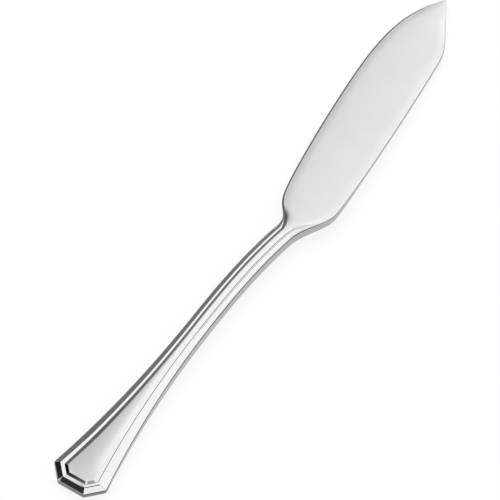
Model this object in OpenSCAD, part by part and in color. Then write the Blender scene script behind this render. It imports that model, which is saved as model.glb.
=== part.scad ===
// Fish knife with a hollow handle: a forged blade whose tang is bedded in two pressed half shells.
// All lengths are in millimetres. The knife lies on its back: +X runs from the end of the handle
// to the tip, +Y to the blade's back, +Z out of the front face. The origin is under the middle of its box.

/* [Handle outline] */
// Length of the handle, from its end to the mouth where the blade starts
handle_l = 106.5; // [92:0.5:130]
// Width of the straight edge at the end
end_w = 8.8; // [6:0.1:12]
// Width across the end corners, the widest place of the handle
corner_w = 18.1; // [15:0.1:24]
// Length of the end corners along the handle
corner_l = 4.9; // [3:0.1:8]
// Width of the slender stem
stem_w = 6.6; // [5.6:0.1:9]
// Length over which the handle narrows from the corners to the stem
flare_l = 66; // [40:1:80]
// Length of the sideways bend that ends at the mouth
bend_l = 40; // [25:1:60]
// Sideways drop of the stem at the mouth
bend_drop = 2.5; // [0:0.05:5]

/* [Handle section] */
// Height of the side wall at the end
wall_end = 1.5; // [1.2:0.1:3]
// Height of the side wall along the stem
wall_stem = 3.3; // [2:0.1:5]
// Width of the outer chamfer beside the end corners
chamfer_w = 1.95; // [0.8:0.05:2.2]
// Height of the outer chamfer
chamfer_h = 0.8; // [0.5:0.1:1.4]
// Width of the flat rim beside the end corners
rim_w = 1.2; // [0.6:0.05:2]
// Rise of the rim towards the panel
rim_h = 0.02; // [0.02:0.01:0.2]
// Width of the bevel between the rim and the raised panel, beside the end corners
step_w = 1.05; // [0.4:0.05:1.2]
// Height of that bevel
step_h = 0.33; // [0.2:0.01:0.6]
// Crown of the raised panel in shares of half its width
crown_share = 0.035; // [0.01:0.005:0.06]
// Thickness of the pressed sheet
shell_t = 0.6; // [0.4:0.05:0.9]

/* [Blade] */
// Length of the blade, from the mouth to the tip
blade_l = 103.5; // [90:0.5:130]
// Thickness of the blade
blade_t = 1.7; // [1.2:0.1:2.6]
// Height of the blade's narrow edge wall
edge_t = 1.3; // [0.8:0.1:1.6]
// Width of the rounding along the blade's edges
edge_round_w = 0.9; // [0.4:0.1:1.6]
// Length over which the side wall thins from the stem to the blade's edge
taper_l = 36; // [15:1:50]
// Length over which the handle's border runs out along the shoulder
run_out_l = 9; // [6:0.5:14]
// Length over which the front face turns from the panel's level to its drop towards the tip
drop_in_l = 10; // [4:0.5:20]

/* [Blade outline] */
// From the mouth to the bottom of the notch in the back
notch_l = 3.2; // [2.5:0.1:6]
// Height of the notch bottom above the handle's axis
notch_rise = 0.2; // [-0.6:0.05:1]
// From the mouth to the shoulder of the back
shoulder_l = 11.8; // [9:0.1:18]
// Height of that shoulder above the axis
shoulder_rise = 4.7; // [3:0.1:7]
// From the highest place of the back to the tip
back_tip_l = 29; // [20:0.5:38]
// Height of the back above the axis
back_rise = 12.9; // [10:0.05:17]
// From the mouth to the heel of the edge
heel_l = 15.1; // [11:0.1:20]
// Depth of the heel below the axis
heel_drop = 12.4; // [9:0.05:16]
// From the end of the straight edge to the tip
edge_tip_l = 21.5; // [16:0.5:32]
// Depth of the straight edge's end below the axis
edge_drop = 6.65; // [4:0.05:10]
// Height of the tip above the axis
tip_rise = 4.4; // [0:0.1:7]
// Width of the blunted tip
tip_w = 0.8; // [0.4:0.1:2]

/* [Tang and joints] */
// Length of the tang inside the handle
tang_l = 55; // [30:1:75]
// Thickness of the tang at its root
tang_t = 2.6; // [1.6:0.1:3.2]
// Thickness of the tang at its tip
tang_tip_t = 1.6; // [1:0.1:2.4]
// Width of the tang at its tip
tang_tip_w = 2.4; // [1.6:0.1:3.4]
// Space at each side of the tang
tang_gap = 0.2; // [0.1:0.05:0.4]
// Width of the solder bead along the inside of the shells' seam
seam_w = 0.5; // [0.3:0.05:0.7]
// Length of the solder plug in the handle's mouth
plug_l = 3; // [2:0.5:8]

/* [Hidden] */

// Steps along the curves: each handle side, then the stretches of the two blade outlines
side_steps = 32;
back_steps = [8, 10, 16, 12];
edge_steps = [18, 16, 12];
// Steps over which the border's direction turns from across the handle to square to the outline
turn_steps = 4;
// Powers of the flare, of the section's change along it and of the bend
flare_power = 2.2;
section_power = 1.5;
bend_power = 2.7;
// Directions of the blade outlines, in degrees from +X
notch_angle = 0;
shoulder_angle = 20;
back_angle = 0;
tip_back_angle = -38.5;
heel_angle = 0;
edge_angle = 8.5;
tip_edge_angle = 29;
mouth_angle = -atan(bend_power * bend_drop / bend_l);
// Pull of each stretch's two ends, in shares of the stretch's own chord
back_pull_shares = [[0.32, 0.36], [0.42, 0.54], [0.13, 0.21], [0.43, 0.35]];
edge_pull_shares = [[0.3, 0.36], [0.24, 0.11], [0.25, 0.6]];
// Places of the border's levels on the stem, in shares of half its width
stem_inset_shares = [0, 0, 0.42, 0.62, 0.82];
// Border round the end in shares of the border beside it, and of the tip in shares of half its width
end_border_share = 0.77;
tip_border_share = 0.5;
// Two rings that round the panel's edge: places in shares of half the panel, heights in shares of its crown
crown_shares = [0.18, 0.4];
crown_rise_shares = [0.6, 1];
// Rounding of the blade's edges: places in shares of its width, heights in shares of its rise
edge_inset_shares = [0, 0, 0.15, 0.4, 1];
edge_rise_shares = [0, 0, 0.2, 0.3, 0.4, 0.7, 1];
// Height of the seam bead in shares of the shell's inner wall
seam_share = 0.6;
// Overrun of cuts past the faces that they cut
overrun = 1;

knife_l = handle_l + blade_l;
stem_half = stem_w / 2;
corner_half = corner_w / 2;
end_insets = [0, 0, chamfer_w, chamfer_w + rim_w, chamfer_w + rim_w + step_w];
stem_insets = stem_half * stem_inset_shares;
panel_h = chamfer_h + rim_h + step_h;
border_rises = [0, 0, chamfer_h, chamfer_h + rim_h, panel_h];
// Levels of a section, from the seam up: 0 seam, 1 top of the wall, 2 top of the chamfer, 3 inner edge
// of the rim, 4 edge of the panel, then the panel's crown
border_level = len(border_rises) - 1;
top_level = border_level + len(crown_shares);
stem_crown_h = crown_share * (stem_half - stem_insets[border_level]);
stem_relief_h = panel_h + stem_crown_h;
stem_half_t = wall_stem / 2 + stem_relief_h;
edge_relief_h = (blade_t - edge_t) / 2;
tang_w = stem_w - 2 * (shell_t + seam_w + tang_gap);

function mix(a, b, t) = a + (b - a) * t;
function ease(t) = let (c = min(max(t, 0), 1)) c * c * (3 - 2 * c);
function unit(v) = v / norm(v);
function heading(angle) = [cos(angle), sin(angle)];
// Direction in which a corner between two inward normals moves when both sides are set in by one unit
function mitre(a, b) = (a + b) / (1 + a * b);

// Handle: half width, axis, half wall, insets of the border, crown and half thickness at x
function flare(x) = max(corner_l + flare_l - x, 0) / flare_l;
function half_width(x) = mix(stem_half, corner_half, pow(flare(x), flare_power));
function width_slope(x) =
    -flare_power * (corner_half - stem_half) * pow(flare(x), flare_power - 1) / flare_l;
function axis_y(x) = -bend_drop * pow(max(x - handle_l + bend_l, 0) / bend_l, bend_power);
function section_share(x) = pow(flare(x), section_power);
function half_wall(x) = mix(wall_stem, wall_end, section_share(x)) / 2;
function border_insets(x) = mix(stem_insets, end_insets, section_share(x));
function crown_h(x) = crown_share * (half_width(x) - border_insets(x)[border_level]);
function half_t(x) = half_wall(x) + panel_h + crown_h(x);

// Inset of one outer level from the outline, for the insets of a border and a half width
function level_inset(level, insets, half) =
    level <= border_level
        ? insets[level]
        : mix(insets[border_level], half, crown_shares[level - border_level - 1]);

// Rise of one outer level above the top of the wall, for the crown of a panel
function level_rise(level, crown) =
    level <= border_level
        ? border_rises[level]
        : panel_h + crown * crown_rise_shares[level - border_level - 1];

// Handle skin as a function of the place x and the level: [inset, rise above the seam]
function outer_section(x, level) = [
    level_inset(level, border_insets(x), half_width(x)),
    level == 0 ? 0 : half_wall(x) + level_rise(level, crown_h(x))
];

// The same, one sheet thickness further in
function inner_section(x, level) =
    let (
        out = outer_section(x, level),
        insets = border_insets(x),
        half = half_width(x),
        chamfer_angle = atan(chamfer_h / insets[2]),
        step_angle = atan(step_h / (insets[4] - insets[3])),
        wall_top = half_wall(x) - shell_t * tan((90 - chamfer_angle) / 2),
        step_shift = shell_t * tan(step_angle / 2)
    )
    level == 0 ? [shell_t, 0] :
    level == 1 ? [shell_t, wall_top] :
    level == 2 ? [out[0] + shell_t * tan(chamfer_angle / 2), out[1] - shell_t] :
    level <= border_level ? [out[0] + step_shift, out[1] - shell_t] :
    [mix(insets[border_level] + step_shift, half, crown_shares[level - border_level - 1]), out[1] - shell_t];

// Solder bead along the seam: its four corners, from the inner top one outwards and down
function bead_section(x, corner) =
    let (rise = seam_share * inner_section(x, 1)[1])
    [corner == 1 || corner == 2 ? shell_t : shell_t + seam_w, corner < 2 ? rise : -rise];

// End of the handle: inward normals of its sloping edges, and how its corners move when the border is set in
corner_run = unit([corner_l, corner_half - end_w / 2]);
corner_normal = [corner_run[1], -corner_run[0]];
side_normal = unit([width_slope(corner_l), -1]);
end_mitre = end_border_share * mitre([1, 0], corner_normal);
corner_shift =
    (end_border_share * side_normal[1] - corner_normal[1])
    / (corner_normal[0] * side_normal[1] - corner_normal[1] * side_normal[0]);

function station(i) = mix(corner_l, handle_l, i / side_steps);
function side_x(inset, i) = mix(corner_l + inset * corner_shift, handle_l, i / side_steps);
function side_reach(inset, x) = half_width(x) - inset * norm([1, width_slope(x)]);

// Side and end points of a ring: the section is taken at the station, so a ring runs level round the corners
function side_point(section, i, side, face) =
    let (x = side_x(section[0], i))
    [x, axis_y(x) + side * side_reach(section[0], x), half_t(station(i)) + face * section[1]];
function end_point(section, side, face) = [
    section[0] * end_mitre[0],
    side * (end_w / 2 + section[0] * end_mitre[1]),
    half_t(station(0)) + face * section[1]
];

// A ring runs from the mouth along the left side, round the end and back along the right side
function outer_ring(level, face) =
    handle_ring([for (i = [0:side_steps]) outer_section(station(i), level)], face);
function inner_ring(level, face) =
    handle_ring([for (i = [0:side_steps]) inner_section(station(i), level)], face);
function bead_ring(corner) =
    handle_ring([for (i = [0:side_steps]) bead_section(station(i), corner)], 1);
function handle_ring(sections, face) = concat(
    [for (i = [side_steps:-1:0]) side_point(sections[i], i, 1, face)],
    [for (side = [1, -1]) end_point(sections[0], side, face)],
    [for (i = [0:side_steps]) side_point(sections[i], i, -1, face)]
);

// Blade outlines: nodes with their directions, joined by cubic curves
back_nodes = [
    [[handle_l, stem_half - bend_drop], mouth_angle],
    [[handle_l + notch_l, notch_rise], notch_angle],
    [[handle_l + shoulder_l, shoulder_rise], shoulder_angle],
    [[knife_l - back_tip_l, back_rise], back_angle],
    [[knife_l, tip_rise + tip_w / 2], tip_back_angle]
];
edge_nodes = [
    [[handle_l, -stem_half - bend_drop], mouth_angle],
    [[handle_l + heel_l, -heel_drop], heel_angle],
    [[knife_l - edge_tip_l, -edge_drop], edge_angle],
    [[knife_l, tip_rise - tip_w / 2], tip_edge_angle]
];
function cubic(a, b, c, d, t) =
    let (s = 1 - t)
    s * s * s * a + 3 * s * s * t * b + 3 * s * t * t * c + t * t * t * d;
function stretch(from, to, pulls, t) =
    let (chord = norm(to[0] - from[0]))
    cubic(
        from[0],
        from[0] + heading(from[1]) * pulls[0] * chord,
        to[0] - heading(to[1]) * pulls[1] * chord,
        to[0],
        t
    );
function outline(nodes, pulls, steps) = concat(
    [nodes[0][0]],
    [for (k = [0:len(steps) - 1], i = [1:steps[k]]) stretch(nodes[k], nodes[k + 1], pulls[k], i / steps[k])]
);
back_line = outline(back_nodes, back_pull_shares, back_steps);
edge_line = outline(edge_nodes, edge_pull_shares, edge_steps);
tip_step = len(back_line) - 1;
middle_y = (max([for (p = back_line) p[1]]) + min([for (p = edge_line) p[1]])) / 2;

// Inward direction at one outline point: across at the mouth, then square to the outline, mitred at the tip
function inward(line, side, i) =
    let (
        run = unit(line[min(i + 1, tip_step)] - line[max(i - 1, 0)]),
        square = side * [run[1], -run[0]]
    )
    i == tip_step
        ? mitre(square, [-1, 0])
        : unit(mix([0, -side], square, min(i / turn_steps, 1)));

// Height of the blade's front face: it goes on from the panel and drops until the tip lies on the table
function face_run(u) = u < drop_in_l ? u * u / (2 * drop_in_l) : u - drop_in_l / 2;
function face_z(u) = mix(2 * stem_half_t, blade_t, face_run(u) / face_run(blade_l));

// One point of a blade ring: the handle's border runs out into the rounding of the blade's edge
function blade_point(line, side, face, level, i) =
    let (
        u = line[i][0] - handle_l,
        half = norm(back_line[i] - edge_line[i]) / 2,
        run_out = ease(u / run_out_l),
        round_w = min(edge_round_w, tip_border_share * half),
        from = level_inset(level, stem_insets, half),
        to = level_inset(level, round_w * edge_inset_shares, half),
        place = line[i] + inward(line, side, i) * mix(from, to, run_out),
        wall = mix(wall_stem, edge_t, ease(u / taper_l)) / 2,
        top = wall + mix(stem_relief_h, edge_relief_h, run_out),
        rise = wall + mix(level_rise(level, stem_crown_h), edge_relief_h * edge_rise_shares[level], run_out)
    )
    [place[0], place[1], face_z(place[0] - handle_l) - top + face * rise];
function blade_ring(level, face) = concat(
    [for (i = [0:tip_step]) blade_point(edge_line, -1, face, level, i)],
    [for (i = [tip_step:-1:0]) blade_point(back_line, 1, face, level, i)]
);

// Faces of a ring's strip to the next ring, and of the ladder that closes a ring across
function quad(a, b, c, d) = [[a, b, c], [a, c, d]];
function strip(a, b, n, closed) = [
    for (j = [0:closed ? n - 1 : n - 2])
        let (next = (j + 1) % n)
        each quad(a + j, a + next, b + next, b + j)
];
function ladder(a, n) = [for (j = [0:n / 2 - 2]) each quad(a + j, a + j + 1, a + n - 2 - j, a + n - 1 - j)];
function flip(faces) = [for (f = faces) [f[2], f[1], f[0]]];

// Solid through a stack of rings, closed across its first and last ring.
// Seen from the first ring's side, the rings run counterclockwise
module ring_stack(rings) {
    n = len(rings[0]);
    last = len(rings) - 1;
    polyhedron(
        [for (r = rings) each r],
        concat(
            flip(ladder(0, n)),
            ladder(last * n, n),
            [for (k = [0:last - 1]) each strip(k * n, (k + 1) * n, n, true)]
        )
    );
}

// Sheet between outer and inner rings, open at the seam and at the mouth
module sheet(outer, inner, face) {
    n = len(outer[0]);
    top = len(outer) - 1;
    depth = n * len(outer);
    mouth = [
        for (k = [0:top - 1], j = [0, n - 1])
            let (rim = quad(k * n + j, (k + 1) * n + j, depth + (k + 1) * n + j, depth + k * n + j))
            each j == 0 ? rim : flip(rim)
    ];
    faces = concat(
        [for (k = [0:top - 1]) each strip(k * n, (k + 1) * n, n, false)],
        flip([for (k = [0:top - 1]) each strip(depth + k * n, depth + (k + 1) * n, n, false)]),
        flip(strip(0, depth, n, false)),
        ladder(top * n, n),
        flip(ladder(depth + top * n, n)),
        mouth,
        quad(top * n, top * n + n - 1, depth + top * n + n - 1, depth + top * n)
    );
    polyhedron([for (r = concat(outer, inner)) each r], face > 0 ? flip(faces) : faces);
}

// Loop of square section that follows the inside of the seam
module bead() {
    rings = [for (corner = [0:3]) bead_ring(corner)];
    n = len(rings[0]);
    last = len(rings) - 1;
    faces = concat(
        [for (k = [0:last]) each strip(k * n, (k + 1) % len(rings) * n, n, false)],
        quad(0, n, 2 * n, 3 * n),
        flip(quad(n - 1, 2 * n - 1, 3 * n - 1, 4 * n - 1))
    );
    polyhedron([for (r = rings) each r], faces);
}

// Space inside the two shells
module cavity() {
    ring_stack(concat(
        [for (k = [top_level:-1:0]) inner_ring(k, 1)],
        [for (k = [1:top_level]) inner_ring(k, -1)]
    ));
}

// Tang: a bar that tapers to its tip and follows the stem's bend.
// Its root reaches into the shoulder by one sheet thickness
module tang() {
    places = [for (i = [0:side_steps]) mix(handle_l, handle_l - tang_l, i / side_steps)];
    sections = concat([[handle_l + shell_t, handle_l]], [for (x = places) [x, x]]);
    rings = [
        for (s = sections)
            let (
                t = (handle_l - s[1]) / tang_l,
                w = mix(tang_w, tang_tip_w, t) / 2,
                h = mix(tang_t, tang_tip_t, t) / 2,
                y = axis_y(s[1]),
                z = half_t(s[1])
            )
            [[s[0], y - w, z - h], [s[0], y + w, z - h], [s[0], y + w, z + h], [s[0], y - w, z + h]]
    ];
    ring_stack(rings);
}

// Slab that covers the handle's mouth over the length of the solder plug
module mouth_slab() {
    translate([handle_l - plug_l, -corner_half, -overrun])
        cube([plug_l + overrun, corner_w, 2 * (stem_half_t + overrun)]);
}

// Puts the origin under the middle of the knife's box
module placed() {
    translate([-knife_l / 2, -middle_y, 0]) children();
}

// Blade, shoulder and tang, one forging
module blade() {
    color("silver") placed() union() {
        ring_stack(concat(
            [for (k = [top_level:-1:1]) blade_ring(k, 1)],
            [for (k = [1:top_level]) blade_ring(k, -1)]
        ));
        tang();
    }
}

// Pressed half of the handle, above or below the seam
module half_shell(face) {
    sheet(
        [for (k = [0:top_level]) outer_ring(k, face)],
        [for (k = [0:top_level]) inner_ring(k, face)],
        face
    );
}

// Front half of the handle
module handle_front_shell() {
    color("gainsboro") placed() half_shell(1);
}

// Back half of the handle; its flat panel is what the knife rests on
module handle_back_shell() {
    color("lightgray") placed() half_shell(-1);
}

// Cement that fills the handle round the tang
module handle_filler() {
    color("tan") placed() difference() {
        cavity();
        tang();
        bead();
        mouth_slab();
    }
}

// Solder bead along the inside of the seam between the shells, up to the plug in the mouth
module seam_solder() {
    color("darkgray") placed() difference() {
        bead();
        mouth_slab();
    }
}

// Solder plug round the tang in the handle's mouth
module neck_solder() {
    color("gray") placed() difference() {
        intersection() {
            cavity();
            mouth_slab();
        }
        tang();
    }
}

blade();
handle_front_shell();
handle_back_shell();
handle_filler();
seam_solder();
neck_solder();
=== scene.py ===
"""Looks of the fish knife: fine skins for the blade and for the two halves of its handle, and the cement
and solder inside. Lengths are in metres. The skins follow the formulas of the part's source at a finer
step, in the source's own frame: x from the end of the handle, y from its axis, z from the table. In fine
points, such as roundings, rims and pressed lines, they go beyond the source."""

import math

import bmesh
import bpy
import numpy as np
from mathutils import Matrix, Vector


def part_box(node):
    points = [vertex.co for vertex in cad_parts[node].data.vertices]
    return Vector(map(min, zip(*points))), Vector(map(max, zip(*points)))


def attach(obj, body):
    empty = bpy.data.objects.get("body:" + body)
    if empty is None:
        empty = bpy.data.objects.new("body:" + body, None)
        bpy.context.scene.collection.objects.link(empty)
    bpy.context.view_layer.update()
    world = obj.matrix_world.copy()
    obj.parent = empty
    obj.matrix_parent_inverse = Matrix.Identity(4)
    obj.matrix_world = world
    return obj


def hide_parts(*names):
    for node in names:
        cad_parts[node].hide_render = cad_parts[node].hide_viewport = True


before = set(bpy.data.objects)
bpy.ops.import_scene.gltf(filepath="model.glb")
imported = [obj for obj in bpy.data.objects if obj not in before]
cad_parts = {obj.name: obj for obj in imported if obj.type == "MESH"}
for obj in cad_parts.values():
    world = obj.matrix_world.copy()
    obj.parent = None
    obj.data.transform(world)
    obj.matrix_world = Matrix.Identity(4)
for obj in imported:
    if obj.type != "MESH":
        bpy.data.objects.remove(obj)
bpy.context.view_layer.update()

MM = 0.001

# Places that the frame gives
shell_low, shell_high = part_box("handle_front_shell")
blade_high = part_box("blade")[1]
ORIGIN = np.array((shell_low.x, (shell_low.y + shell_high.y) / 2, 0.0))
HANDLE_L = shell_high.x - shell_low.x
BLADE_L = blade_high.x - shell_high.x
CORNER_HALF = (shell_high.y - shell_low.y) / 2
STEM_HALF_T = shell_high.z / 2

# Outline of the handle
END_HALF = 4.4 * MM
CORNER_L = 4.9 * MM
CORNER_ROUND = 1.1 * MM
STEM_HALF = 3.3 * MM
FLARE_L = 66 * MM
FLARE_POWER = 2.2
SECTION_POWER = 1.5
BEND_L = 40 * MM
BEND_DROP = 2.5 * MM
BEND_POWER = 2.7

# Section of the handle. Widths are those of chamfer, rim and step, beside the end corners and on the stem
WALL_END = 1.5 * MM
WALL_STEM = 3.3 * MM
BORDER_WIDTHS = np.array((1.95, 1.2, 1.05)) * MM
STEM_WIDTHS = np.array((0.42, 0.2, 0.2)) * STEM_HALF
# What the left border adds to these widths along the flare and on the stem, and over what length from the
# end corner it does so
FLARE_GROWTH = np.array((0.34, -0.3, 0.33)) * MM
STEM_GROWTH = np.array((0.2, -0.06, 0.08)) * MM
GROWTH_L = 14 * MM
PANEL_H = 1.15 * MM
LEFT, RIGHT = 1, -1
# The chamfer's share of the rise of chamfer and step, and slope of the rim towards the panel: it falls on
# the left and rises on the right
CHAMFER_SHARES = {LEFT: 0.71, RIGHT: 0.76}
RIM_SLOPES = {LEFT: -0.076, RIGHT: 0.09}
# Border round the end in shares of the border beside it
END_BORDER_SHARE = 0.88
CROWN_SHARE = 0.035
CROWN_RUN = 9 * MM
SHELL_T = 0.6 * MM

# Blade and its outline
BLADE_T = 1.7 * MM
EDGE_TS = {LEFT: 1.1 * MM, RIGHT: 1.3 * MM}
TAPER_L = 36 * MM
RUN_OUT_L = 9 * MM
NOTCH_RUN_START, NOTCH_RUN_L = 0.5 * MM, 4.8 * MM
DROP_IN_L = 10 * MM
TURN_L = 3 * MM
TIP_HALF = 0.4 * MM
TIP_RISE = 4.4 * MM
# Rounding of the blade's edges, which chamfer, rim and step turn into
EDGE_WIDTHS = {LEFT: np.array((0.5, 0.1, 0.02)) * MM, RIGHT: np.array((0.3, 0.1, 0.02)) * MM}
EDGE_HEIGHTS = {LEFT: np.array((0.16, 0.015, 0.005)) * MM, RIGHT: np.array((0.11, 0.01, 0.005)) * MM}
# Half width below which that rounding shrinks towards the tip
CALM_HALF = 5 * MM
# How the blade's face falls to its edges: over a band beside them, and in a power of the place at the neck
ROLL_W = 2.4 * MM
ROLL_SHARE = 0.55
NECK_POWER = 10
# How far towards the middle the point lies that the last rounding of the edge leads to
FIRST_SHARE = 0.2
MOUTH_ANGLE = -math.degrees(math.atan(BEND_POWER * BEND_DROP / BEND_L))

# Nodes of the blade's back and edge: place from the mouth and the axis, and direction in degrees.
# The pulls of each stretch's two ends are shares of its chord
BACK_NODES = (
    (0.0, STEM_HALF - BEND_DROP, MOUTH_ANGLE),
    (3.2 * MM, 0.2 * MM, 0),
    (11.8 * MM, 4.7 * MM, 20),
    (BLADE_L - 29 * MM, 12.9 * MM, 0),
    (BLADE_L, TIP_RISE + TIP_HALF, -38.5),
)
BACK_PULL_SHARES = ((0.32, 0.36), (0.42, 0.54), (0.13, 0.21), (0.43, 0.35))
EDGE_NODES = (
    (0.0, -STEM_HALF - BEND_DROP, MOUTH_ANGLE),
    (15.1 * MM, -12.4 * MM, 0),
    (BLADE_L - 21.5 * MM, -6.65 * MM, 8.5),
    (BLADE_L, TIP_RISE - TIP_HALF, 29),
)
EDGE_PULL_SHARES = ((0.3, 0.36), (0.24, 0.11), (0.25, 0.6))

# Tang
TANG_L = 55 * MM
TANG_HALF_W = 2.0 * MM
TANG_TIP_HALF_W = 1.2 * MM
TANG_HALF_T = 1.3 * MM
TANG_TIP_HALF_T = 0.8 * MM

# Widths of the fine lines pressed in on the right, at the outer edge of the rim and at the foot of the step.
# Where the handle flares, the first turns into a small bevel
STEM_LINES = np.array((0.13, 0.24)) * MM
END_LINES = np.array((0.3, 0.2)) * MM
LINE_SLOPE = 0.36
BEVEL_SLOPE = 0.24
# Share of the end's section at which the bevel is complete, and the widest line in shares of the rim
BEVEL_SHARE = 0.08
LINE_SHARE = 0.4

# Small roundings of the section's corners: top of the wall, top of the chamfer, bottom of the outer line,
# edge of the inner line, its bottom at the foot of the step, and edge of the panel. Each takes at most a
# share of the lines that meet there
CORNER_CUTS = (0.3 * MM, 0.05 * MM, 0.02 * MM, 0.04 * MM, 0.03 * MM, 0.08 * MM)
CUT_LIMIT_SHARE = 0.45
# Least radius of the end's corners, and angle above which an edge stays sharp
SMALLEST_ROUND = 0.12 * MM
SHARP_ANGLE = math.radians(40)

# Steps of the meshes
SIDE_STEPS = 72
CORNER_STEPS = 5
ARC_STEPS = 4
PANEL_COLUMNS = 24
NECK_STEPS, FACE_STEPS, TIP_STEPS = 72, 56, 40
NECK_END, TIP_START = 16 * MM, BLADE_L - 24 * MM
TANG_STEPS = 24
CURVE_STEPS = 400

# Camera: the photograph's viewing angle, its place and its focal length in image widths
AZIMUTH = math.radians(-56.8)
ELEVATION = math.radians(54.5)
EYE = Vector((-637.565, -409.733, 1058.35)) * MM
FOCAL_WIDTHS = 8.7905
SENSOR_W = 36.0

STEM_RELIEF_H = PANEL_H + CROWN_SHARE * (STEM_HALF - STEM_WIDTHS.sum())


def mix(a, b, t):
    return a + (b - a) * t


def ease(t):
    c = min(max(t, 0.0), 1.0)
    return c * c * (3 - 2 * c)


def unit(v):
    return np.asarray(v, float) / np.linalg.norm(v)


def mitre(a, b):
    """How a corner between two inward normals moves when both sides are set in by one unit."""
    return (a + b) / (1 + a @ b)


def curve_through(start, corner, end, steps):
    """Short curve that rounds a corner, from start to end."""
    shares = [i / steps for i in range(steps + 1)]
    return [(1 - t) ** 2 * start + 2 * t * (1 - t) * corner + t * t * end for t in shares]


def rounded(corners):
    """Section line through the corners, with all but the first and the last rounded."""
    line = [corners[0]]
    for before, corner, after, cut in zip(corners, corners[1:], corners[2:], CORNER_CUTS):
        inward, onward = before - corner, after - corner
        start = corner + inward * min(cut / np.linalg.norm(inward), CUT_LIMIT_SHARE)
        end = corner + onward * min(cut / np.linalg.norm(onward), CUT_LIMIT_SHARE)
        line += curve_through(start, corner, end, ARC_STEPS)
    return line


# Handle: half width, axis, half wall, widths of the border and half thickness at x
def flare(x):
    return max(CORNER_L + FLARE_L - x, 0) / FLARE_L


def half_width(x):
    return mix(STEM_HALF, CORNER_HALF, flare(x) ** FLARE_POWER)


def width_slope(x):
    return -FLARE_POWER * (CORNER_HALF - STEM_HALF) * flare(x) ** (FLARE_POWER - 1) / FLARE_L


def axis_y(x):
    return -BEND_DROP * (max(x - HANDLE_L + BEND_L, 0) / BEND_L) ** BEND_POWER


def section_share(x):
    return flare(x) ** SECTION_POWER


def half_wall(x):
    return mix(WALL_STEM, WALL_END, section_share(x)) / 2


def border_widths(x):
    return mix(STEM_WIDTHS, BORDER_WIDTHS, section_share(x))


def side_widths(x, side):
    """Widths of the border on one side."""
    if side == RIGHT:
        return border_widths(x)
    growth = mix(STEM_GROWTH, FLARE_GROWTH, section_share(x))
    return border_widths(x) + growth * ease((x - CORNER_L) / GROWTH_L)


def half_t(x):
    return half_wall(x) + PANEL_H + CROWN_SHARE * (half_width(x) - border_widths(x).sum())


def section_corners(widths, heights, wall):
    """Corners of a section, from the seam up to the panel: inset and rise."""
    places = [(0.0, 0.0), (0.0, wall)]
    for width, height in zip(widths, heights):
        inset, rise = places[-1]
        places.append((inset + width, rise + height))
    return [np.array(p) for p in places]


def shrink(corners, t):
    """Corners of the same handle section one sheet thickness further in."""
    seam, wall, chamfer, rim, panel = corners
    chamfer_angle = math.atan2(chamfer[1] - wall[1], chamfer[0] - wall[0])
    step_angle = math.atan2(panel[1] - rim[1], panel[0] - rim[0])
    step_shift = np.array((t * math.tan(step_angle / 2), -t))
    return [
        seam + np.array((t, 0)),
        wall + np.array((t, -t * math.tan((math.pi / 2 - chamfer_angle) / 2))),
        chamfer + np.array((t * math.tan(chamfer_angle / 2), -t)),
        rim + step_shift,
        panel + step_shift,
    ]


def lined(corners, widths, fade, bevel):
    """The same corners with the fine lines on both sides of the rim, which fade out at 0. The outer one is
    a bevel at 1."""
    chamfer, rim = corners[2:4]
    run = unit(rim - chamfer)
    outer, inner = (min(w, LINE_SHARE * np.linalg.norm(rim - chamfer)) for w in widths)
    edge_drop = np.array((0, BEVEL_SLOPE * outer * fade * bevel))
    outer_drop = np.array((0, LINE_SLOPE * outer * fade * (1 - bevel)))
    inner_drop = np.array((0, LINE_SLOPE * inner * fade))
    lines = [chamfer - edge_drop, chamfer + run * outer - outer_drop, rim - run * inner, rim - inner_drop]
    return corners[:2] + lines + corners[4:]


def border_heights(rim_w, side):
    """Rises of chamfer, rim and step on one side."""
    rim = RIM_SLOPES[side] * rim_w
    chamfer = CHAMFER_SHARES[side] * (PANEL_H - rim)
    return np.array((chamfer, rim, PANEL_H - rim - chamfer))


def handle_section(x, depth, side):
    """Rounded section of the handle's skin at x, outside or one sheet thickness further in."""
    widths = side_widths(x, side)
    corners = section_corners(widths, border_heights(widths[1], side), half_wall(x))
    if depth:
        corners = shrink(corners, depth)
    panel_half = half_width(x) - corners[-1][0]
    slope = np.array((1.0, 2 * CROWN_SHARE))
    line_widths = mix(STEM_LINES, END_LINES, section_share(x))
    fade = 1 if side == RIGHT and not depth else 0
    bevel = ease(section_share(x) / BEVEL_SHARE)
    return rounded(lined(corners, line_widths, fade, bevel) + [corners[-1] + slope * panel_half])


# End of the handle: inward normals of its edges, and how its corners move when they are set in
CORNER_RUN = unit((CORNER_L, CORNER_HALF - END_HALF))
CORNER_NORMAL = np.array((CORNER_RUN[1], -CORNER_RUN[0]))
SIDE_NORMAL = unit((width_slope(CORNER_L), -1))
END_MITRE = END_BORDER_SHARE * mitre(np.array((1.0, 0.0)), CORNER_NORMAL)
CORNER_MITRE = np.linalg.solve((CORNER_NORMAL, SIDE_NORMAL), (END_BORDER_SHARE, 1))


def station(i):
    return mix(CORNER_L, HANDLE_L, i / SIDE_STEPS)


def side_point(inset, i, side):
    x = mix(CORNER_L + inset * CORNER_MITRE[0], HANDLE_L, i / SIDE_STEPS)
    reach = half_width(x) - inset * math.hypot(1, width_slope(x))
    return np.array((x, axis_y(x) + side * reach))


def corner_arc(before, corner, after, radius):
    """Rounded corner of an outline."""
    back, on = unit(before - corner), unit(after - corner)
    turn = math.pi - math.acos(max(-1.0, min(1.0, float(back @ on))))
    cut = radius * math.tan(turn / 2)
    return curve_through(corner + back * cut, corner, corner + on * cut, ARC_STEPS)


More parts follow.
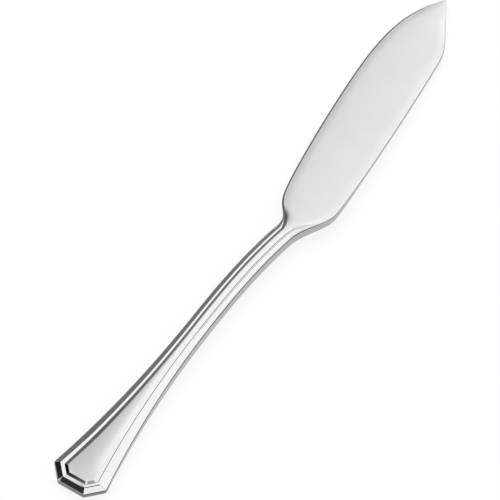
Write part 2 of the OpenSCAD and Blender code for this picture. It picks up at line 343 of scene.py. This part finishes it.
def end_points(inset):
    """Outline of the handle's end on the left, from the side to the middle of the end edge."""
    first = side_point(inset, 1, LEFT)
    wide = side_point(inset, 0, LEFT)
    low = np.array((inset * END_MITRE[0], END_HALF + inset * END_MITRE[1]))
    middle = np.array((low[0], 0.0))
    radius = max(CORNER_ROUND - inset, SMALLEST_ROUND)
    upper = corner_arc(first, wide, low, radius)
    lower = corner_arc(wide, low, middle, radius)
    between = [mix(upper[-1], lower[0], i / CORNER_STEPS) for i in range(1, CORNER_STEPS)]
    return upper + between + lower


def across(left, right):
    """Points between the last left and the last right point of a ring."""
    return [mix(left, right, i / PANEL_COLUMNS) for i in range(1, PANEL_COLUMNS)]


def handle_ring(level, sections, face):
    """Ring of one level: from the mouth along the left, across the end and back along the right."""
    rows = []
    for side in (LEFT, RIGHT):
        places = [s[level] for s in sections[side]]
        ends = [p * np.array((1, side)) for p in end_points(places[0][0])]
        row = [side_point(places[i][0], i, side) for i in range(SIDE_STEPS, 0, -1)] + ends
        heights = [half_t(station(i)) + face * places[i][1] for i in range(SIDE_STEPS, 0, -1)]
        heights += [half_t(station(0)) + face * places[0][1]] * len(ends)
        rows.append([np.array((*p, z)) for p, z in zip(row, heights)])
    left, right = rows
    return left + across(left[-1], right[-1]) + right[::-1]


def handle_panel(ring, face, depth):
    """Rows of points between the two sides of a handle ring, raised by the panel's crown."""
    rows = []
    side = (len(ring) - PANEL_COLUMNS + 1) // 2
    end_x = ring[side - 1][0]
    for j in range(side - 1):
        run = min((ring[j][0] - end_x) / CROWN_RUN, 1)
        middle = half_t(station(max(SIDE_STEPS - j, 0)))
        missing = middle - depth - face * (ring[j][2] - middle)
        height = missing * (1 - (1 - run) ** 2)
        row = []
        for i, p in enumerate(across(ring[j], ring[-1 - j]), 1):
            share = 2 * i / PANEL_COLUMNS - 1
            row.append(p + np.array((0, 0, face * height * (1 - share * share))))
        rows.append(row)
    return rows


# Blade: its outlines at the places u from the mouth, and the height of its front face
def heading(angle):
    """Direction at an angle in degrees."""
    return np.array((math.cos(math.radians(angle)), math.sin(math.radians(angle))))


def outline(nodes, pull_shares, places):
    """Points of an outline of cubic stretches, one at each place from the mouth."""
    line = []
    shares = np.linspace(0, 1, CURVE_STEPS)[:, None]
    for (xa, ya, angle_a), (xb, yb, angle_b), (pull_a, pull_b) in zip(nodes, nodes[1:], pull_shares):
        a, b = np.array((xa, ya)), np.array((xb, yb))
        chord = np.linalg.norm(b - a)
        c, d = a + heading(angle_a) * pull_a * chord, b - heading(angle_b) * pull_b * chord
        rest = 1 - shares
        line.append(rest**3 * a + 3 * rest**2 * shares * c + 3 * rest * shares**2 * d + shares**3 * b)
    line = np.vstack(line)
    return np.stack([places, np.interp(places, line[:, 0], line[:, 1])], 1)


def face_run(u):
    return u * u / (2 * DROP_IN_L) if u < DROP_IN_L else u - DROP_IN_L / 2


def face_z(u):
    return mix(2 * STEM_HALF_T, BLADE_T, face_run(u) / face_run(BLADE_L))


def blade_places():
    neck = np.linspace(0, NECK_END, NECK_STEPS, endpoint=False)
    middle = np.linspace(NECK_END, TIP_START, FACE_STEPS, endpoint=False)
    return np.concatenate([neck, middle, np.linspace(TIP_START, BLADE_L, TIP_STEPS + 1)])


def inward_directions(line, side):
    """Inward directions along an outline: across at the mouth, then square to it, mitred at the tip."""
    runs = np.gradient(line, axis=0)
    directions = []
    for (u, _), run in zip(line, runs):
        run = unit(run)
        square = side * np.array((run[1], -run[0]))
        directions.append(unit(mix(np.array((0.0, -side)), square, ease(u / TURN_L))))
    directions[-1] = mitre(square, np.array((-1.0, 0.0)))
    return directions


def blade_section(u, half, side):
    """Rounded section of one side of the blade at u, where the handle's border runs out into the rounding
    of the edge: at the notch its chamfer and rim end early. Gives its top too, and what the face lacks
    beside it."""
    run_out = ease(u / RUN_OUT_L)
    border_out = ease((u - NOTCH_RUN_START) / NOTCH_RUN_L) if side == LEFT else run_out
    shares = np.array((border_out, border_out, run_out))
    fit = min(1.0, half / CALM_HALF)
    edge_relief = (BLADE_T - EDGE_TS[side]) / 2 * fit
    wall = mix(WALL_STEM / 2, BLADE_T / 2 - edge_relief, ease(u / TAPER_L))
    relief = mix(STEM_RELIEF_H, edge_relief, run_out)
    mouth_widths = side_widths(HANDLE_L, side)
    widths = mix(mouth_widths, EDGE_WIDTHS[side] * fit, shares)
    heights = mix(border_heights(mouth_widths[1], side), EDGE_HEIGHTS[side] * fit, shares)
    corners = section_corners(widths, heights, wall)
    top = wall + relief
    missing = top - corners[-1][1]
    first = 1 - (1 - FIRST_SHARE) ** mix(NECK_POWER, 2, run_out)
    onward = np.array((FIRST_SHARE * (half - corners[-1][0]), first * missing))
    fade = 1 - run_out if side == RIGHT else 0
    line = rounded(lined(corners, STEM_LINES, fade, 0) + [corners[-1] + onward])
    return line[1:], top, missing


def blade_skin(face):
    """Rings of one face of the blade, and the rows of points across it."""
    places = blade_places()
    lines = [
        (outline(BACK_NODES, BACK_PULL_SHARES, places), LEFT),
        (outline(EDGE_NODES, EDGE_PULL_SHARES, places), RIGHT),
    ]
    halves = np.linalg.norm(lines[0][0] - lines[1][0], axis=1) / 2
    sections = [[blade_section(u, half, side) for u, half in zip(places, halves)] for _, side in lines]
    ways = [inward_directions(line, side) for line, side in lines]
    rings = []
    for level in range(len(sections[0][0][0])):
        sides = []
        for (line, _), way, own in zip(lines, ways, sections):
            side = []
            for at, inward, (section, top, _) in zip(line, way, own):
                inset, rise = section[level]
                u, y = at + inward * inset
                side.append(np.array((HANDLE_L + u, y, face_z(u) - top + face * rise)))
            sides.append(side)
        left, right = sides
        rings.append(left + across(left[-1], right[-1]) + right[::-1])
    ring = rings[-1]
    rows = []
    for j, u in enumerate(places[:-1]):
        left, right = ring[j], ring[-1 - j]
        width = np.linalg.norm(right - left)
        run_out = ease(u / RUN_OUT_L)
        row = []
        for i, p in enumerate(across(left, right), 1):
            place = 2 * i / PANEL_COLUMNS - 1
            _, top, missing = sections[0 if place < 0 else 1][j]
            share = abs(place)
            from_side = (1 - share) * width / 2
            roll = (1 - min(from_side / min(ROLL_W, width / 2), 1)) ** 2
            rest = mix(share**NECK_POWER, mix(share * share, roll, ROLL_SHARE), run_out)
            plane = face_z(p[0] - HANDLE_L) - top
            row.append(np.array((p[0], p[1], plane + face * (top - missing * rest))))
        rows.append(row)
    return rings, rows


class Skin:
    """Points and faces of a piece, gathered before they become a mesh."""

    def __init__(self):
        self.points = []
        self.faces = []

    def add(self, points):
        first = len(self.points)
        self.points += [tuple(p + ORIGIN) for p in points]
        return list(range(first, len(self.points)))

    def strip(self, a, b, flip):
        """Faces between two rows of equal length."""
        for i in range(len(a) - 1):
            quad = (a[i], a[i + 1], b[i + 1], b[i])
            self.faces.append(quad[::-1] if flip else quad)

    def surface(self, rings, rows, flip):
        """Faces of stacked rings and of the rows that close the last one. Gives rings and mouth row."""
        levels = [self.add(ring) for ring in rings]
        for lower, upper in zip(levels, levels[1:]):
            self.strip(lower, upper, flip)
        ring = levels[-1]
        side = len(rows) + 1
        lines = [[ring[j], *self.add(row), ring[-1 - j]] for j, row in enumerate(rows)]
        lines.append(ring[side - 1 : len(ring) - side + 1])
        for line, after in zip(lines, lines[1:]):
            self.strip(line, after, not flip)
        return levels, lines[0]

    def mouth_line(self, levels, mouth_row):
        """Points of the mouth, from the first ring on the left to the first ring on the right."""
        left = [level[0] for level in levels[:-1]]
        right = [level[-1] for level in levels[:-1]]
        return left + mouth_row + right[::-1]

    def mesh(self, name):
        mesh = bpy.data.meshes.new(name)
        mesh.from_pydata(self.points, [], self.faces)
        mesh.validate()
        return mesh


def piece(name, mesh, node, material):
    """Puts a finished mesh into the scene in place of a node of the frame."""
    mesh.polygons.foreach_set("use_smooth", [True] * len(mesh.polygons))
    mesh.set_sharp_from_angle(angle=SHARP_ANGLE)
    obj = bpy.data.objects.new(name, mesh)
    bpy.context.scene.collection.objects.link(obj)
    obj.data.materials.append(material)
    weighted = obj.modifiers.new("flat faces keep their normals", "WEIGHTED_NORMAL")
    weighted.keep_sharp = True
    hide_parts(node)
    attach(obj, "root")


def half_shell(name, node, face, material):
    """One pressed half of the handle, a sheet between an outer and an inner skin."""
    skin = Skin()
    mouths, seams = [], []
    for depth in (0, SHELL_T):
        sections = {
            side: [handle_section(station(i), depth, side) for i in range(SIDE_STEPS + 1)]
            for side in (LEFT, RIGHT)
        }
        rings = [handle_ring(level, sections, face) for level in range(len(sections[LEFT][0]))]
        rows = handle_panel(rings[-1], face, depth)
        levels, mouth_row = skin.surface(rings, rows, (face < 0) != bool(depth))
        mouths.append(skin.mouth_line(levels, mouth_row))
        seams.append(levels[0])
    skin.strip(seams[0], seams[1], face > 0)
    skin.strip(mouths[0], mouths[1], face < 0)
    piece(name, skin.mesh(name), node, material)


def tang_sections():
    """Corners of the tang's sections, from its root in the mouth to its tip."""
    sections = []
    signs = ((-1, -1), (1, -1), (1, 1), (-1, 1))
    for i in range(TANG_STEPS + 1):
        t = i / TANG_STEPS
        x = HANDLE_L - TANG_L * t
        w = mix(TANG_HALF_W, TANG_TIP_HALF_W, t)
        h = mix(TANG_HALF_T, TANG_TIP_HALF_T, t)
        y, z = axis_y(x), half_t(x)
        sections.append([np.array((x, y + a * w, z + b * h)) for a, b in signs])
    return sections


def blade_piece(material):
    """Blade, shoulder and tang, one closed mesh."""
    skin = Skin()
    mouths, walls = [], []
    for face in (1, -1):
        levels, mouth_row = skin.surface(*blade_skin(face), face > 0)
        mouths.append(skin.mouth_line(levels, mouth_row))
        walls.append(levels[0])
    skin.strip(walls[0], walls[1], False)
    tang = [skin.add(section) for section in tang_sections()]
    for a, b in zip(tang, tang[1:]):
        skin.strip(a + a[:1], b + b[:1], False)
    skin.faces.append(tuple(tang[-1][::-1]))
    loop = mouths[0] + mouths[1][::-1]
    mesh = skin.mesh("blade_skin")
    solid = bmesh.new()
    solid.from_mesh(mesh)
    solid.verts.ensure_lookup_table()
    edges = []
    for ring in (loop, tang[0]):
        for a, b in zip(ring, ring[1:] + ring[:1]):
            ends = (solid.verts[a], solid.verts[b])
            edges.append(solid.edges.get(ends) or solid.edges.new(ends))
    bmesh.ops.triangle_fill(solid, edges=edges, use_beauty=True)
    bmesh.ops.recalc_face_normals(solid, faces=solid.faces)
    solid.to_mesh(mesh)
    solid.free()
    piece("blade_skin", mesh, "blade", material)


# Materials. Noises: stretch along the axes, scale, detail and roughness
CLOUDS = ((1, 1, 1), 90, 3, 0.5)
POLISHING_LINES = ((60, 2600, 2600), 1, 4, 0.6)
GRAIN = ((1, 1, 1), 1400, 5, 0.65)
RIPPLES = ((1, 1, 1), 700, 2, 0.4)
# Parts of a noise that a range and a colour ramp spread out
RANGE_ENDS = (0.25, 0.75)
RAMP_ENDS = (0.3, 0.7)
# Steels: darkest and lightest tone, least and greatest roughness, depth of the polishing lines
BLADE_STEEL = ((0.78, 0.78, 0.78), (0.81, 0.81, 0.81), 0.13, 0.2, 0.004 * MM)
HANDLE_STEEL = ((0.79, 0.79, 0.79), (0.81, 0.81, 0.81), 0.06, 0.11, 0.002 * MM)
POLISH_BUMP = 0.15
CEMENT_DARK = (0.42, 0.37, 0.3)
CEMENT_LIGHT = (0.64, 0.59, 0.5)
CEMENT_ROUGHNESS = 0.85
CEMENT_BUMP, CEMENT_DEPTH = 0.5, 0.1 * MM
SOLDER_DARK = (0.5, 0.5, 0.49)
SOLDER_LIGHT = (0.68, 0.68, 0.66)
SOLDER_ROUGHNESS = (0.35, 0.5)
SOLDER_BUMP, SOLDER_DEPTH = 0.3, 0.05 * MM
# Side walls: their base colour, darker than the faces', is painted shade; their roughness is that of
# unpolished steel
WALL_SHADE_DARK = (0.4, 0.4, 0.4)
WALL_SHADE_LIGHT = (0.5, 0.5, 0.5)
GROUND_ROUGHNESS = (0.22, 0.32)
# Rounded edges between the walls and the faces: painted nearly black as shade
EDGE_SHADE_DARK = (0.07, 0.07, 0.07)
EDGE_SHADE_LIGHT = (0.11, 0.11, 0.11)
# Upward parts of the normal between which the unpolished walls, with painted shade, turn into rounded edges
# painted nearly black as shade, and these into polished faces
WALL_TILTS = (0.12, 0.3)
EDGE_TILTS = (0.68, 0.8)
# Places along the knife between which the walls and the dark edges turn bright towards the tip, as painted
# light, and how far
TIP_LIGHT_START, TIP_LIGHT_END = blade_high.x - 27 * MM, blade_high.x - 6 * MM
TIP_LIGHT_SHARE = 0.85
# Places between which the walls turn darker at the end of the handle, as painted shade, and how far
END_SHADE_START, END_SHADE_END = shell_low.x + 8 * MM, shell_low.x + 4 * MM
END_SHADE_SHARE = 0.6


def new_material(name):
    """New material with its node tree and its shader."""
    material = bpy.data.materials.new(name)
    material.use_nodes = True
    return material, material.node_tree, material.node_tree.nodes["Principled BSDF"]


def noise(tree, coordinates, stretch, scale, detail, roughness):
    """Noise on the object's own coordinates, stretched along some of the axes."""
    mapping = tree.nodes.new("ShaderNodeMapping")
    mapping.inputs["Scale"].default_value = stretch
    tree.links.new(coordinates, mapping.inputs["Vector"])
    texture = tree.nodes.new("ShaderNodeTexNoise")
    texture.inputs["Scale"].default_value = scale
    texture.inputs["Detail"].default_value = detail
    texture.inputs["Roughness"].default_value = roughness
    tree.links.new(mapping.outputs["Vector"], texture.inputs["Vector"])
    return texture.outputs["Fac"]


def spread(tree, value, low, high):
    """Maps the middle of a noise to a range."""
    node = tree.nodes.new("ShaderNodeMapRange")
    node.inputs["From Min"].default_value, node.inputs["From Max"].default_value = RANGE_ENDS
    node.inputs["To Min"].default_value = low
    node.inputs["To Max"].default_value = high
    tree.links.new(value, node.inputs["Value"])
    return node.outputs["Result"]


def ramp(tree, value, dark, light):
    """Colour between two greys or tints."""
    node = tree.nodes.new("ShaderNodeValToRGB")
    for element, place, tone in zip(node.color_ramp.elements, RAMP_ENDS, (dark, light)):
        element.position = place
        element.color = (*tone, 1)
    tree.links.new(value, node.inputs["Fac"])
    return node.outputs["Color"]


def smooth(tree, value, low, high):
    """0 at low, 1 at high and a soft change between them."""
    node = tree.nodes.new("ShaderNodeMapRange")
    node.interpolation_type = "SMOOTHSTEP"
    node.inputs["From Min"].default_value = low
    node.inputs["From Max"].default_value = high
    tree.links.new(value, node.inputs["Value"])
    return node.outputs["Result"]


def math_node(tree, operation, first, second):
    node = tree.nodes.new("ShaderNodeMath")
    node.operation = operation
    for value, socket in zip((first, second), node.inputs):
        if isinstance(value, float):
            socket.default_value = value
        else:
            tree.links.new(value, socket)
    return node.outputs[0]


def upright_share(tree, tilts):
    """1 on upright faces and 0 on faces that look up or down, with the change between two tilts."""
    split = tree.nodes.new("ShaderNodeSeparateXYZ")
    tree.links.new(tree.nodes.new("ShaderNodeNewGeometry").outputs["Normal"], split.inputs[0])
    size = tree.nodes.new("ShaderNodeMath")
    size.operation = "ABSOLUTE"
    tree.links.new(split.outputs["Z"], size.inputs[0])
    return smooth(tree, size.outputs[0], *tilts[::-1])


def blend(tree, share, first, second, kind):
    """First value where the share is 0, second where it is 1."""
    node = tree.nodes.new("ShaderNodeMix")
    node.data_type = kind
    sockets = [s for s in node.inputs if s.enabled]
    tree.links.new(share, sockets[0])
    tree.links.new(first, sockets[1])
    tree.links.new(second, sockets[2])
    return next(s for s in node.outputs if s.enabled)


def bump(tree, shader, value, strength, distance):
    node = tree.nodes.new("ShaderNodeBump")
    node.inputs["Strength"].default_value = strength
    node.inputs["Distance"].default_value = distance
    tree.links.new(value, node.inputs["Height"])
    tree.links.new(node.outputs["Normal"], shader.inputs["Normal"])


def polished_steel(name, dark, light, rough_low, rough_high, line_depth):
    """Polished stainless steel: faint clouds in its tone and gloss, hair-fine polishing lines along it and
    rougher unpolished side walls. Painted shade darkens the walls and paints the rounded edges between walls
    and faces nearly black, and darkens the walls more at the end of the handle; painted light brightens
    walls and edges towards the tip."""
    material, tree, shader = new_material(name)
    place = tree.nodes.new("ShaderNodeTexCoord").outputs["Object"]
    clouds = noise(tree, place, *CLOUDS)
    lines = noise(tree, place, *POLISHING_LINES)
    split = tree.nodes.new("ShaderNodeSeparateXYZ")
    tree.links.new(place, split.inputs[0])
    # Painted light: walls and edges brighter towards the tip
    tip_light = smooth(tree, split.outputs["X"], TIP_LIGHT_START, TIP_LIGHT_END)
    # Share of the painted shade on walls and edges that is left, less towards the tip
    dull = math_node(tree, "SUBTRACT", 1.0, math_node(tree, "MULTIPLY", tip_light, TIP_LIGHT_SHARE))
    # Where the painted shade goes: the walls, and the rounded edges between walls and faces
    walls = math_node(tree, "MULTIPLY", upright_share(tree, WALL_TILTS), dull)
    edges = math_node(tree, "MULTIPLY", upright_share(tree, EDGE_TILTS), dull)
    shader.inputs["Metallic"].default_value = 1
    polished = ramp(tree, clouds, dark, light)
    # Darker base colour of the walls: painted shade
    wall_shade = ramp(tree, lines, WALL_SHADE_DARK, WALL_SHADE_LIGHT)
    # Nearly black base colour of the rounded edges: painted shade
    edge = ramp(tree, lines, EDGE_SHADE_DARK, EDGE_SHADE_LIGHT)
    # Painted shade: the walls darker at the end of the handle
    end_shade = math_node(tree, "MULTIPLY", smooth(tree, split.outputs["X"], END_SHADE_START, END_SHADE_END), END_SHADE_SHARE)
    wall_shade = blend(tree, end_shade, wall_shade, edge, "RGBA")
    faces = blend(tree, edges, polished, edge, "RGBA")
    tree.links.new(blend(tree, walls, faces, wall_shade, "RGBA"), shader.inputs["Base Color"])
    gloss = spread(tree, lines, rough_low, rough_high)
    ground_gloss = spread(tree, lines, *GROUND_ROUGHNESS)
    tree.links.new(blend(tree, walls, gloss, ground_gloss, "FLOAT"), shader.inputs["Roughness"])
    bump(tree, shader, lines, POLISH_BUMP, line_depth)
    return material


def cast_cement(name):
    """Handle cement: grainy, matt and unevenly brown."""
    material, tree, shader = new_material(name)
    place = tree.nodes.new("ShaderNodeTexCoord").outputs["Object"]
    grain = noise(tree, place, *GRAIN)
    tree.links.new(ramp(tree, grain, CEMENT_DARK, CEMENT_LIGHT), shader.inputs["Base Color"])
    shader.inputs["Roughness"].default_value = CEMENT_ROUGHNESS
    bump(tree, shader, grain, CEMENT_BUMP, CEMENT_DEPTH)
    return material


def flowed_solder(name):
    """Soft solder as it set: dull grey metal with slow ripples."""
    material, tree, shader = new_material(name)
    place = tree.nodes.new("ShaderNodeTexCoord").outputs["Object"]
    ripples = noise(tree, place, *RIPPLES)
    shader.inputs["Metallic"].default_value = 1
    tree.links.new(ramp(tree, ripples, SOLDER_DARK, SOLDER_LIGHT), shader.inputs["Base Color"])
    tree.links.new(spread(tree, ripples, *SOLDER_ROUGHNESS), shader.inputs["Roughness"])
    bump(tree, shader, ripples, SOLDER_BUMP, SOLDER_DEPTH)
    return material


def dress_node(name, material):
    """Gives a node of the frame that stays its material."""
    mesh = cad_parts[name].data
    mesh.materials.clear()
    mesh.materials.append(material)


# Studio: floor, sky of soft light and camera
FLOOR_HALF = 2.0
FLOOR_GAP = 0.02 * MM
FLOOR_CELLS = 8
FLOOR_TONE = (0.9, 0.9, 0.9)
FLOOR_ROUGHNESS = 0.9
FLOOR_GLOW_SHARE = 0.8
# Directions: to the bright side, which the knife's edge faces, from the handle to the tip, and up
BRIGHT_SIDE = (0.0, -1.0, 0.0)
AHEAD = (1.0, 0.0, 0.0)
UP = (0.0, 0.0, 1.0)
# Tones of the studio from its dark side, over the knife's back, to its bright side, over the knife's edge:
# behind the handle's end, as the end, the stem and the blade mirror them, and beyond the tip. The middle
# three share the tones of the bright side
BRIGHT_TONES = ((-0.12, 1.12), (-0.02, 0.94), (0.1, 0.94), (0.25, 1.13), (0.6, 1.14), (0.75, 0.85))
BACK_TONES = ((-1.0, 0.9), (-0.5, 0.95), (-0.2, 1.0), (0.0, 0.92), (0.35, 0.92), (0.75, 0.85))
END_TONES = (
    (-1.0, 0.9), (-0.95, 0.6), (-0.9, 0.2), (-0.86, 0.13), (-0.8, 0.1), (-0.7, 0.09), (-0.6, 0.16),
    (-0.55, 0.28), (-0.5, 0.46), (-0.44, 0.65), (-0.4, 0.69), (-0.36, 0.72), (-0.32, 0.77), (-0.28, 0.85),
    (-0.24, 1.0), (-0.2, 1.13), *BRIGHT_TONES,
)
STEM_TONES = (
    (-1.0, 0.9), (-0.95, 0.6), (-0.9, 0.34), (-0.86, 0.26), (-0.8, 0.18), (-0.7, 0.13), (-0.6, 0.19),
    (-0.55, 0.32), (-0.5, 0.5), (-0.45, 0.69), (-0.4, 0.84), (-0.35, 1.0), (-0.3, 1.1), (-0.25, 1.15),
    (-0.2, 1.17), *BRIGHT_TONES,
)
BLADE_TONES = (
    (-1.0, 0.9), (-0.95, 0.6), (-0.9, 0.5), (-0.86, 0.42), (-0.8, 0.28), (-0.75, 0.14), (-0.7, 0.08),
    (-0.65, 0.06), (-0.6, 0.12), (-0.55, 0.24), (-0.5, 0.36), (-0.45, 0.48), (-0.4, 0.62), (-0.36, 0.77),
    (-0.33, 0.87), (-0.3, 0.96), (-0.27, 1.04), (-0.24, 1.1), *BRIGHT_TONES,
)
TIP_TONES = ((-1.0, 0.9), (-0.75, 0.55), (-0.6, 0.6), (-0.45, 0.8), (-0.3, 1.0), (0.0, 0.92), (0.75, 0.85))
# Directions along the knife between which one turns into the next
TURNS = ((-0.2, -0.08), (0.385, 0.43), (0.48, 0.57), (0.67, 0.75))
# Light over the tip and over the horizon, in shares of the light elsewhere
TIP_SHARES = ((0.58, 1.0), (0.66, 1.14), (0.76, 0.95))
HORIZON_SHARES = ((0.2, 0.7), (0.4, 1.0))
# Dark wall of the studio behind the handle's end, and where it fades out
DARK_WALL = (1.0, -0.4, 0.0)
DARK_WALL_ALONG = (-0.72, -0.62, -0.33, -0.12)
DARK_WALL_SIDE = (-0.62, -0.5, 0.0, 0.12)
# Dark screen that the cut corner on the left mirrors
SCREEN_ALONG = (-0.12, -0.06, 0.12, 0.2)
SCREEN_SIDE = (-0.97, -0.93, -0.7, -0.62)
# Dark gap between the soft lamps, aslant over the handle's end
GAP_AXIS = (0.874, 0.485, 0.0)
GAP = (-0.17, -0.14, -0.088, -0.055)
GAP_SIDE = (0.1, 0.13, 0.33, 0.39)
# How much of the light the dark wall, the screen and the gap take away
DARK_SHARE = 0.97
LAMP_POWER = 17.0
LAMP_SIZE = 1.6
LAMP_PLACE = (0.5, 0.7, 1.4)


def add_floor():
    """White table top that keeps a faint shadow, with its edge far outside the view."""
    grid = bmesh.new()
    bmesh.ops.create_grid(grid, x_segments=FLOOR_CELLS, y_segments=FLOOR_CELLS, size=FLOOR_HALF)
    mesh = bpy.data.meshes.new("floor")
    grid.to_mesh(mesh)
    grid.free()
    floor = bpy.data.objects.new("floor", mesh)
    floor.location.z = -FLOOR_GAP
    bpy.context.scene.collection.objects.link(floor)
    material, tree, shader = new_material("pale_table")
    shader.inputs["Base Color"].default_value = (*FLOOR_TONE, 1)
    shader.inputs["Roughness"].default_value = FLOOR_ROUGHNESS
    shader.inputs["Specular IOR Level"].default_value = 0
    rays = tree.nodes.new("ShaderNodeLightPath").outputs
    seen = math_node(tree, "MAXIMUM", rays["Is Camera Ray"], rays["Is Glossy Ray"])
    seen = math_node(tree, "MAXIMUM", seen, rays["Is Transmission Ray"])
    mixed = tree.nodes.new("ShaderNodeMixShader")
    tree.links.new(math_node(tree, "MULTIPLY", seen, FLOOR_GLOW_SHARE), mixed.inputs[0])
    tree.links.new(shader.outputs[0], mixed.inputs[1])
    tree.links.new(tree.nodes.new("ShaderNodeEmission").outputs[0], mixed.inputs[2])
    tree.links.new(mixed.outputs[0], tree.nodes["Material Output"].inputs["Surface"])
    mesh.materials.append(material)


def part_along(tree, direction, axis):
    """Part of a direction along an axis."""
    node = tree.nodes.new("ShaderNodeVectorMath")
    node.operation = "DOT_PRODUCT"
    node.inputs[1].default_value = axis
    tree.links.new(direction, node.inputs[0])
    return node.outputs["Value"]


def between(tree, value, start, full, last, end):
    """1 from full to last, 0 outside start and end."""
    return math_node(tree, "MULTIPLY", smooth(tree, value, start, full), smooth(tree, value, end, last))


def tone_line(tree, value, stops):
    """Tone that follows its stops along a value."""
    low, high = stops[0][0], stops[-1][0]
    place = tree.nodes.new("ShaderNodeMapRange")
    place.inputs["From Min"].default_value = low
    place.inputs["From Max"].default_value = high
    tree.links.new(value, place.inputs["Value"])
    tones = tree.nodes.new("ShaderNodeValToRGB")
    elements = tones.color_ramp.elements
    while len(elements) < len(stops):
        elements.new(0.5)
    for element, (at, tone) in zip(elements, stops):
        element.position = (at - low) / (high - low)
        element.color = (tone, tone, tone, 1)
    tree.links.new(place.outputs["Result"], tones.inputs["Fac"])
    return tones.outputs["Color"]


def add_sky():
    """Soft studio light all round: bright over the knife's edge, dark over its back and behind its end."""
    world = bpy.data.worlds.new("studio")
    bpy.context.scene.world = world
    world.use_nodes = True
    tree = world.node_tree
    direction = tree.nodes.new("ShaderNodeTexCoord").outputs["Generated"]
    side = part_along(tree, direction, BRIGHT_SIDE)
    ahead = part_along(tree, direction, AHEAD)
    tones, *others = (
        tone_line(tree, side, stops) for stops in (BACK_TONES, END_TONES, STEM_TONES, BLADE_TONES, TIP_TONES)
    )
    for turn, other in zip(TURNS, others):
        tones = blend(tree, smooth(tree, ahead, *turn), tones, other, "RGBA")
    behind = between(tree, part_along(tree, direction, DARK_WALL), *DARK_WALL_ALONG)
    dark_wall = math_node(tree, "MULTIPLY", behind, between(tree, side, *DARK_WALL_SIDE))
    aslant = between(tree, part_along(tree, direction, GAP_AXIS), *GAP)
    gap = math_node(tree, "MULTIPLY", aslant, between(tree, side, *GAP_SIDE))
    over = between(tree, ahead, *SCREEN_ALONG)
    screen = math_node(tree, "MULTIPLY", over, between(tree, side, *SCREEN_SIDE))
    dark = math_node(tree, "MAXIMUM", math_node(tree, "MAXIMUM", dark_wall, gap), screen)
    dark = math_node(tree, "MULTIPLY", dark, DARK_SHARE)
    light = math_node(tree, "SUBTRACT", 1.0, dark)
    background = tree.nodes["Background"]
    tree.links.new(tones, background.inputs["Color"])
    light = math_node(tree, "MULTIPLY", light, tone_line(tree, ahead, TIP_SHARES))
    low = tone_line(tree, part_along(tree, direction, UP), HORIZON_SHARES)
    tree.links.new(math_node(tree, "MULTIPLY", light, low), background.inputs["Strength"])


def add_lamp():
    """Large soft lamp for the table; the polished steel mirrors the sky alone."""
    light = bpy.data.lights.new("table_lamp", "AREA")
    light.energy = LAMP_POWER
    light.size = LAMP_SIZE
    lamp = bpy.data.objects.new("table_lamp", light)
    lamp.location = LAMP_PLACE
    lamp.rotation_euler = (-Vector(LAMP_PLACE)).to_track_quat("-Z", "Y").to_euler()
    lamp.visible_glossy = False
    bpy.context.scene.collection.objects.link(lamp)


def add_camera():
    """Camera at the photograph's viewing angle."""
    level = math.cos(ELEVATION)
    back = Vector((math.sin(AZIMUTH) * level, -math.cos(AZIMUTH) * level, math.sin(ELEVATION)))
    right = Vector((math.cos(AZIMUTH), math.sin(AZIMUTH), 0.0))
    up = back.cross(right)
    data = bpy.data.cameras.new("camera")
    data.sensor_fit = "HORIZONTAL"
    data.sensor_width = SENSOR_W
    data.lens = SENSOR_W * FOCAL_WIDTHS
    camera = bpy.data.objects.new("camera", data)
    turn = Matrix((right, up, back)).transposed().to_4x4()
    camera.matrix_world = Matrix.Translation(EYE) @ turn
    bpy.context.scene.collection.objects.link(camera)
    bpy.context.scene.camera = camera


blade_steel = polished_steel("blade_steel", *BLADE_STEEL)
handle_steel = polished_steel("handle_steel", *HANDLE_STEEL)
solder = flowed_solder("solder")

blade_piece(blade_steel)
half_shell("handle_front", "handle_front_shell", 1, handle_steel)
half_shell("handle_back", "handle_back_shell", -1, handle_steel)
dress_node("handle_filler", cast_cement("cement"))
dress_node("seam_solder", solder)
dress_node("neck_solder", solder)

add_floor()
add_sky()
add_lamp()
add_camera()
bpy.context.scene.view_settings.view_transform = "Standard"
